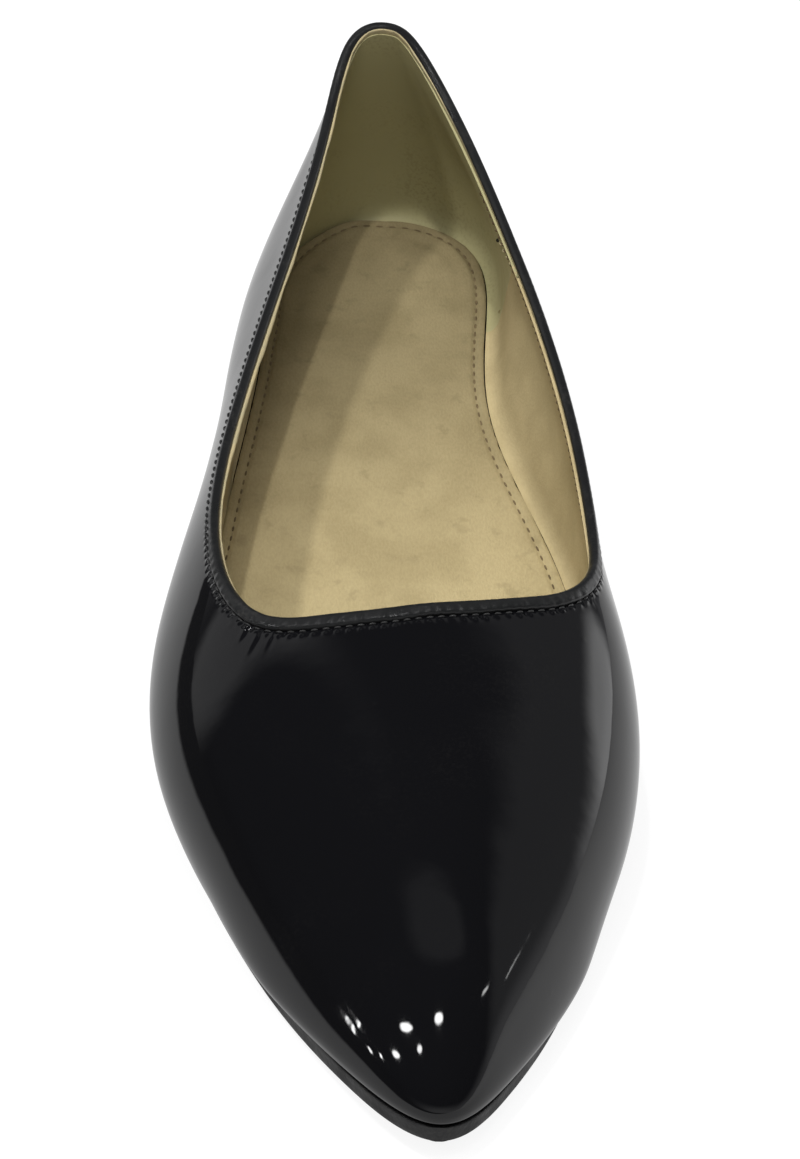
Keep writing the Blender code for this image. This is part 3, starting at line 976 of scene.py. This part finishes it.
def edgesAt(loop, stations):
    loop = np.roll(loop, -int(np.argmax(loop[:, 1])), 0)
    toe = int(np.argmin(loop[:, 1]))
    outer, inner = loop[: toe + 1], np.vstack([loop[toe:], loop[:1]])
    xOuter = np.interp(-stations, -outer[:, 1], outer[:, 0])
    xInner = np.interp(stations, inner[:, 1], inner[:, 0])
    return xOuter, xInner


def endStations(loop, count, endShare=0.0004):
    angle = np.linspace(0, math.pi, count)
    share = endShare + (1 - 2 * endShare) * (1 - np.cos(angle)) / 2
    heel, toe = loop[:, 1].max(), loop[:, 1].min()
    return heel + (toe - heel) * share


def distanceTo(points, loop):
    flat = points.reshape(-1, points.shape[-1])[:, :2]
    best = np.full(len(flat), 1.0)
    for start in range(0, len(loop), 200):
        part = loop[start : start + 200, :2]
        gap = np.linalg.norm(flat[:, None, :] - part[None, :, :], axis=2).min(axis=1)
        best = np.minimum(best, gap)
    return best.reshape(points.shape[:-1])


def makeSock(material):
    look, form = sockLook, lastForm
    inset = form["upperWall"] + form["insoleClearance"]
    board = edgeLoop(lambda along: np.full(len(along), -inset))
    loop = sockLoop(0.0)
    stations = endStations(board, look["stations"])
    spread = (1 - np.cos(np.linspace(0, math.pi, look["across"]))) / 2

    def crossing(edge):
        xOuter, xInner = edgesAt(edge, stations)
        return xOuter[:, None] + (xInner - xOuter)[:, None] * spread[None]

    x, xBoard = crossing(loop), crossing(board)
    y = np.broadcast_to(stations[:, None], x.shape)
    base = insoleBase(alongOf(np.stack([x, y, x], axis=-1)))
    gap = distanceTo(np.stack([x, y], axis=-1), loop)
    edge = look["edgeRound"]
    inEdge = np.clip(edge - gap, 0, None)
    rounding = edge - np.sqrt(np.clip(edge**2 - inEdge**2, 0, None))
    groove = look["groove"] * bell(gap - look["stitchInset"], look["grooveHalfWidth"])
    heelward = smoothStep((y - look["ringStart"]) / look["ringEase"])
    ring = look["ring"] * heelward * bell(gap - look["ringInset"], look["ringSpread"])
    wave = smoothStep((gap - 0.003) / 0.010) * np.sin(70 * y + 0.6) * np.sin(90 * x)
    (wornX, wornY), (wide, long) = look["wornAt"], look["wornSpread"]
    worn = look["worn"] * np.exp(-(((x - wornX) / wide) ** 2 + ((y - wornY) / long) ** 2))
    top = base + form["insoleThickness"] - rounding - groove - ring + look["crown"] * wave - worn
    upper = np.stack([x, y, top], axis=-1)
    low = np.stack([xBoard, y, base], axis=-1)
    low = np.concatenate([low[:, :-1:12], low[:, -1:]], axis=1)
    points = np.concatenate([upper, low[:, ::-1]], axis=1).transpose(1, 0, 2)
    piece = surfaceMesh("suedeSock", points, material, "flat")
    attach(piece, "root")
    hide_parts("insole")


def makeSockStitches(material):
    look = sockLook
    loop = sockLoop(look["stitchInset"])
    loop = loop[alongOf(loop) < look["stitchEnd"]]
    # the row starts behind the toe on the inner side and runs round the heel to the outer side
    split = int(np.argmax(np.linalg.norm(np.diff(loop, axis=0), axis=1))) + 1
    loop = np.roll(loop, -split, 0)
    travelled = np.concatenate([[0], np.cumsum(np.linalg.norm(np.diff(loop, axis=0), axis=1))])
    count = stitchCount(travelled[-1], look["stitchPitch"])
    at = (np.arange(count) + 0.5) / count * travelled[-1]
    centres = np.stack([np.interp(at, travelled, loop[:, k]) for k in range(3)], axis=1)
    centres[:, 2] = insoleTop(alongOf(centres)) - look["groove"] - look["stitchSunk"]
    tangents = unit(np.gradient(centres, axis=0))
    normals = unit(upward - tangents * tangents[:, 2:3])
    piece = stitchMesh("sockStitches", centres, tangents, normals, sockThread, material)
    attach(piece, "root")


def makeSockMaterial():
    look, surface = sockLook, {"Roughness": 0.95, "Specular IOR Level": 0.2}
    material, tree, shader = newMaterial("suedeSock", surface)
    shades = {"Colour": look["colour"], "Shade": look["shade"], "Patch": 75.0}
    nap = useGroup(tree, napGroup, shades)
    place = objectPlace(tree)
    rubbed = rangeNode(tree, noiseNode(tree, place, 230.0, 4.0, 0.6), 0.56, 0.72, 0.0, 0.35)
    colour = mixColour(tree, rubbed, nap["Colour"], darker(look["shade"], 0.72))
    # painted shade: the sock's colour darkens towards the heel, standing in for the shade inside
    # the heel's walls
    heelward = addNode(tree, "ShaderNodeSeparateXYZ", {0: place}).outputs["Y"]
    worn = rangeNode(tree, heelward, 0.005, 0.085, 1.0, look["heelPaintedShade"])
    colour = mixColour(tree, 1.0, colour, greyNode(tree, worn), "MULTIPLY")
    for x, y, radius in sockSpots:
        apart = vectorValue(tree, "DISTANCE", place, (x, y, spotHeight))
        spot = rangeNode(tree, apart, radius * 0.6, radius * 1.5, 0.70, 0.0)
        colour = mixColour(tree, spot, colour, look["stain"])
    normal = bumpNode(tree, nap["Height"], 0.00020, 0.55)
    setInputs(tree, shader, {"Base Color": colour, "Normal": normal})
    return material


makeSock(makeSockMaterial())
sockThreadMaterial = makeThreadMaterial("sockThread", (0.160, 0.118, 0.062, 1.0), 0.8)
makeSockStitches(sockThreadMaterial)
print("sock made")

# the outsole and the heel

soleLook = {
    "stations": 260,
    "chamfer": 0.0007,
    "colour": (0.007, 0.007, 0.0074, 1.0),
    "roughness": 0.50,
    "heelColour": (0.013, 0.013, 0.0135, 1.0),
    "heelRoughness": 0.46,
}


def weltOffset(along):
    form = lastForm
    toeward = smoothStep((along - form["weltStart"]) / (1 - form["weltStart"]))
    return -form["soleInset"] + (form["soleInset"] + form["toeWelt"]) * toeward


# half an outline of the sole, from the middle of the underside to the middle of the top:
# share of the width, chamfers off the side, share of the height, chamfers above that
soleOutline = (
    (0.0, 0.0, 0.0, 0.0), (0.35, 0.0, 0.0, 0.0), (0.7, 0.0, 0.0, 0.0), (1.0, 1.5, 0.0, 0.0),
    (1.0, 1.0, 0.0, 0.0), (1.0, 0.30, 0.0, 0.22), (1.0, 0.0, 0.0, 0.62),
    (1.0, -0.02, 0.35, 0.0), (1.0, 0.06, 0.55, 0.0), (1.0, -0.02, 0.75, 0.0),
    (1.0, 0.0, 1.0, -0.30), (1.0, 0.10, 1.0, -0.10), (1.0, 0.30, 1.0, 0.0), (1.0, 1.5, 1.0, 0.0),
    (0.7, 0.0, 1.0, 0.0), (0.35, 0.0, 1.0, 0.0), (0.0, 0.0, 1.0, 0.0),
)


def makeSole(material):
    look = soleLook
    loop = edgeLoop(weltOffset, 2400)
    stations = endStations(loop, look["stations"], 0.0002)
    xOuter, xInner = edgesAt(loop, stations)
    along = 0.5 - stations / lastForm["length"]
    low, high = soleBottom(along), soleTop(along)
    middle, half = (xOuter + xInner) / 2, (xInner - xOuter) / 2
    cut = np.minimum(look["chamfer"], half * 0.4)

    def row(side, point):
        share, inward, height, above = point
        reach, z = half * share - cut * inward, low + (high - low) * height + cut * above
        return np.stack([middle + side * reach, stations, z], axis=1)

    rows = [row(1, point) for point in soleOutline]
    points = np.array(rows + [row(-1, point) for point in soleOutline[-2:0:-1]])
    piece = surfaceMesh("unitSole", points, material, "flat")
    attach(piece, "root")
    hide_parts("outsole")


def makeRubberMaterial(name, colour, roughness):
    return makeGrainyMaterial(
        name, {"Colour": colour, "Amount": 0.05, "Patch": 120.0}, (180.0, 3.0, 0.75),
        (roughness - 0.07, roughness + 0.12), {"Size": 1250.0, "Pebble": 1.1}, (0.00009, 0.55),
    )


def dress(node, material):
    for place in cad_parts[node].material_slots:
        place.material = material


look = soleLook
makeSole(makeRubberMaterial("soleRubber", look["colour"], look["roughness"]))
heelRubber = makeRubberMaterial("heelRubber", look["heelColour"], look["heelRoughness"])
dress("heel", heelRubber)
print("sole and heel made")

# floor, light and camera

floorLook = {
    "half": 2.6,
    "colour": (0.14, 0.14, 0.14, 1.0),
    "glow": 0.90,
    "mirrored": 0.50,           # what the patent mirrors of the floor close by
    "beyond": 0.045,            # and past its lit part
    "sides": (-0.10, 0.06),     # the inner side's floor is mirrored brighter than the outer side's
    "innerGain": 1.32,
    "outerGain": 0.94,
    "litTo": (0.112, 0.134),    # how far the lit part runs towards the outer side of the toe
    "toward": (-0.90, -0.436, 0.0),
}
skyLook = {
    "pale": (1.0, 1.0, 1.0, 1.0),       # what the camera sees past the floor
    "overhead": (0.045, 0.046, 0.050),
    "horizon": (0.34, 0.34, 0.35),
    "rise": 0.20,               # sine of the height by which the horizon's light has gone
    "brightSide": (0.80, 0.60, 0.0),
    "darkSide": 0.10,           # of the horizon's light, on the other side
}
# soft oval patches of light that the patent mirrors: azimuth (0 in front of the toe, 90 to the
# inner side), elevation, half width, half height and turn in degrees, softness as a share, strength
skyPatchColumns = ("azimuth", "elevation", "halfWidth", "halfHeight", "turn", "soft", "strength")
skyPatches = (
    (-121, 30, 13, 36, -10, 0.18, 0.40),
    (118, 32, 17, 42, 35, 0.15, 0.19),
    (116, 8, 9, 18, 0, 0.40, 1.60),
    (180, 88, 25, 5, 0, 0.25, 0.15),
    (0, 4, 40, 12, 0, 0.5, 0.45),
    (-88, 2, 0.35, 1.6, 0, 0.3, 26.0),
    (-87, 7, 0.35, 1.6, 0, 0.3, 26.0),
    (-85, 3, 0.5, 0.9, 0, 0.3, 20.0),
    (-82, 8, 0.6, 0.9, 0, 0.3, 26.0),
    (-77, 21, 0.9, 3.0, 23, 0.3, 26.0),
    (-75, 41, 0.9, 5.8, 20, 0.3, 28.0),
    (-61, 47, 1.2, 3.2, 31, 0.3, 24.0),
    (-16, 75, 1.4, 6.0, 72, 0.3, 28.0),
    (91, 32, 0.5, 3.0, -26, 0.4, 9.0),
    (98, 15, 0.3, 0.8, -45, 0.5, 5.0),
)
# the two lamps that cast the edges of shade on the sock, and a wide fill; the gloss mirrors none
lampColumns = ("azimuth", "elevation", "distance", "size", "power", "mirrored")
lamps = (
    (-65, 81.75, 1.5, 0.05, 6.3, False),
    (-90, 64.5, 1.5, 0.10, 8.6, False),
    (-10, 72, 1.2, 1.20, 9.0, False),
)
cameraLook = {
    "azimuth": -3.6768,
    "elevation": 39.5000,
    "distance": 1.0,
    "target": (0.00205, 0.00159, 0.0200),
    "roll": 3.7913,
    "lens": 167.47,
}


def direction(azimuth, elevation):
    a, e = math.radians(azimuth), math.radians(elevation)
    return np.array([math.sin(a) * math.cos(e), -math.cos(a) * math.cos(e), math.sin(e)])


def makeFloor():
    half = floorLook["half"]
    corners = [(-half, -half, 0), (half, -half, 0), (half, half, 0), (-half, half, 0)]
    mesh = bpy.data.meshes.new("floor")
    mesh.from_pydata(corners, [], [(0, 1, 2, 3)])
    look, surface = floorLook, {"Roughness": 0.9, "Specular IOR Level": 0.0}
    material, tree, shader = newMaterial("paleFloor", surface)
    way = vectorValue(tree, "DOT_PRODUCT", objectPlace(tree), look["toward"])
    mirrored = rangeNode(tree, way, *look["litTo"], look["mirrored"], look["beyond"])
    side = rangeNode(tree, way, *look["sides"], look["innerGain"], look["outerGain"])
    mirrored = mathNode(tree, "MULTIPLY", mirrored, side)
    seen = addNode(tree, "ShaderNodeLightPath").outputs["Is Camera Ray"]
    glow = mixValue(tree, seen, mirrored, look["glow"])
    lit = mixValue(tree, seen, rangeNode(tree, way, *look["litTo"], 1.0, 0.0), 1.0)
    setInputs(tree, shader, {
        "Base Color": mixColour(tree, lit, (0.0, 0.0, 0.0, 1.0), look["colour"]),
        "Emission Color": greyNode(tree, glow),
        "Emission Strength": 1.0,
    })
    mesh.materials.append(material)
    floor = bpy.data.objects.new("floor", mesh)
    bpy.context.scene.collection.objects.link(floor)


def makeSky():
    world = bpy.data.worlds.new("studio")
    bpy.context.scene.world = world
    world.use_nodes = True
    tree = world.node_tree
    generated = addNode(tree, "ShaderNodeTexCoord").outputs["Generated"]
    way = addNode(tree, "ShaderNodeVectorMath", {0: generated}, operation="NORMALIZE")
    way = way.outputs["Vector"]
    height = addNode(tree, "ShaderNodeSeparateXYZ", {0: way}).outputs["Z"]
    climb = rangeNode(tree, height, 0.0, skyLook["rise"])
    side = vectorValue(tree, "DOT_PRODUCT", way, skyLook["brightSide"])
    side = greyNode(tree, rangeNode(tree, side, -0.4, 0.3, skyLook["darkSide"], 1.0))
    horizon = mixColour(tree, 1.0, (*skyLook["horizon"], 1.0), side, "MULTIPLY")
    colour = mixColour(tree, climb, horizon, (*skyLook["overhead"], 1.0))
    for row in skyPatches:
        patch = dict(zip(skyPatchColumns, row))
        toward = direction(patch["azimuth"], patch["elevation"])
        side = direction(patch["azimuth"] + 90, 0)
        above = np.cross(side, toward)
        above = above * np.sign(above[2])
        turn = math.radians(patch["turn"])
        width = side * math.cos(turn) - above * math.sin(turn)
        height = above * math.cos(turn) + side * math.sin(turn)
        spread = []
        for axis, half in ((width, patch["halfWidth"]), (height, patch["halfHeight"])):
            scaled = tuple(axis / math.sin(math.radians(half)))
            across = vectorValue(tree, "DOT_PRODUCT", way, scaled)
            spread.append(mathNode(tree, "MULTIPLY", across, across))
        reach = mathNode(tree, "SQRT", mathNode(tree, "ADD", *spread))
        soft = patch["soft"]
        mask = rangeNode(tree, reach, 1 - soft, 1 + soft, patch["strength"], 0.0)
        facing = vectorValue(tree, "DOT_PRODUCT", way, tuple(toward))
        mask = mathNode(tree, "MULTIPLY", mask, mathNode(tree, "GREATER_THAN", facing, 0.0))
        colour = mixColour(tree, 1.0, colour, greyNode(tree, mask), "ADD")
    seen = addNode(tree, "ShaderNodeLightPath").outputs["Is Camera Ray"]
    colour = mixColour(tree, seen, colour, skyLook["pale"])
    setInputs(tree, tree.nodes["Background"], {"Color": colour})


def makeLamps():
    for number, row in enumerate(lamps):
        look = dict(zip(lampColumns, row))
        light = bpy.data.lights.new("lamp%d" % number, "AREA")
        light.shape = "DISK"
        light.size = look["size"]
        light.energy = look["power"]
        lamp = bpy.data.objects.new("lamp%d" % number, light)
        toward = direction(look["azimuth"], look["elevation"])
        lamp.location = toward * look["distance"]
        lamp.visible_glossy = look["mirrored"]
        lamp.rotation_mode = "QUATERNION"
        lamp.rotation_quaternion = Vector(-toward).to_track_quat("-Z", "Y")
        bpy.context.scene.collection.objects.link(lamp)


def makeCamera():
    look = cameraLook
    back = Vector(direction(look["azimuth"], look["elevation"]))
    right = (-back).cross(Vector((0, 0, 1))).normalized()
    up = right.cross(-back)
    roll = math.radians(look["roll"])
    side = right * math.cos(roll) + up * math.sin(roll)
    top = up * math.cos(roll) - right * math.sin(roll)
    data = bpy.data.cameras.new("camera")
    data.lens = look["lens"]
    data.sensor_width = 36.0
    data.clip_start, data.clip_end = 0.05, 20.0
    camera = bpy.data.objects.new("camera", data)
    placed = Matrix((side, top, back)).transposed().to_4x4()
    placed.translation = Vector(look["target"]) + back * look["distance"]
    camera.matrix_world = placed
    bpy.context.scene.collection.objects.link(camera)
    bpy.context.scene.camera = camera


makeFloor()
makeSky()
makeLamps()
makeCamera()
bpy.context.scene.view_settings.view_transform = "Standard"
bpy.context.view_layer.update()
print("floor, light and camera made")
